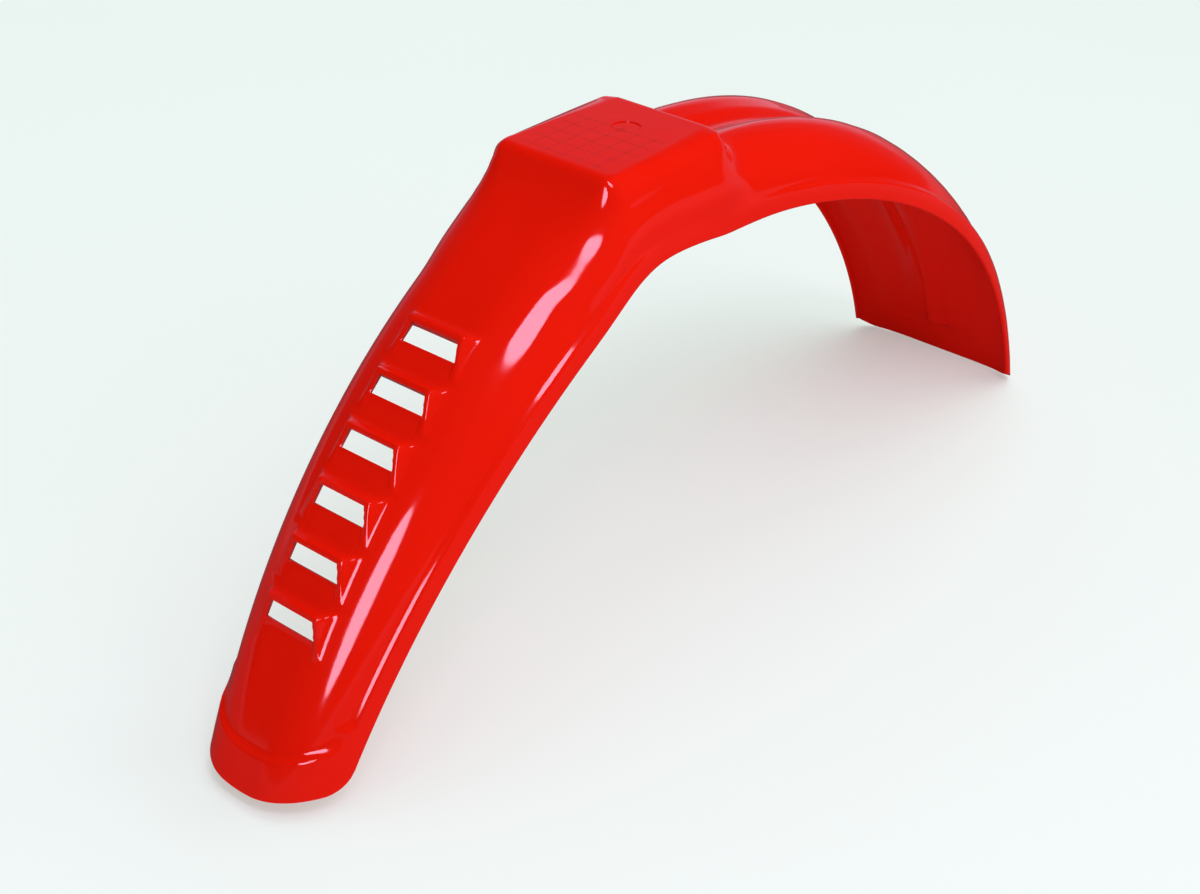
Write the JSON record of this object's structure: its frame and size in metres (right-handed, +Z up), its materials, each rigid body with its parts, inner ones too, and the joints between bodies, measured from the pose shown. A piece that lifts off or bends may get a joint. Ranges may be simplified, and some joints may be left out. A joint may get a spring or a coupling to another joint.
{
  "type": "motorcycle front mudguard",
  "caption": "One-piece moulded off-road front mudguard: arched channel with a flat-topped clamp box, a louvred tapering rear half and a wide grooved front half.",
  "frame": {"origin": "centre of the flat drilling face on top of the clamp box", "axes": "+Z up out of the drilling face, +X forward along the crown towards the plain grooved end, +Y to the left"},
  "size_m": [0.7281, 0.1472, 0.3065],
  "materials": {
    "shell": "gloss, new, moulded in colour"
  },
  "bodies": {
    "root": {"mudguard": "shell"}
  },
  "joints": []
}
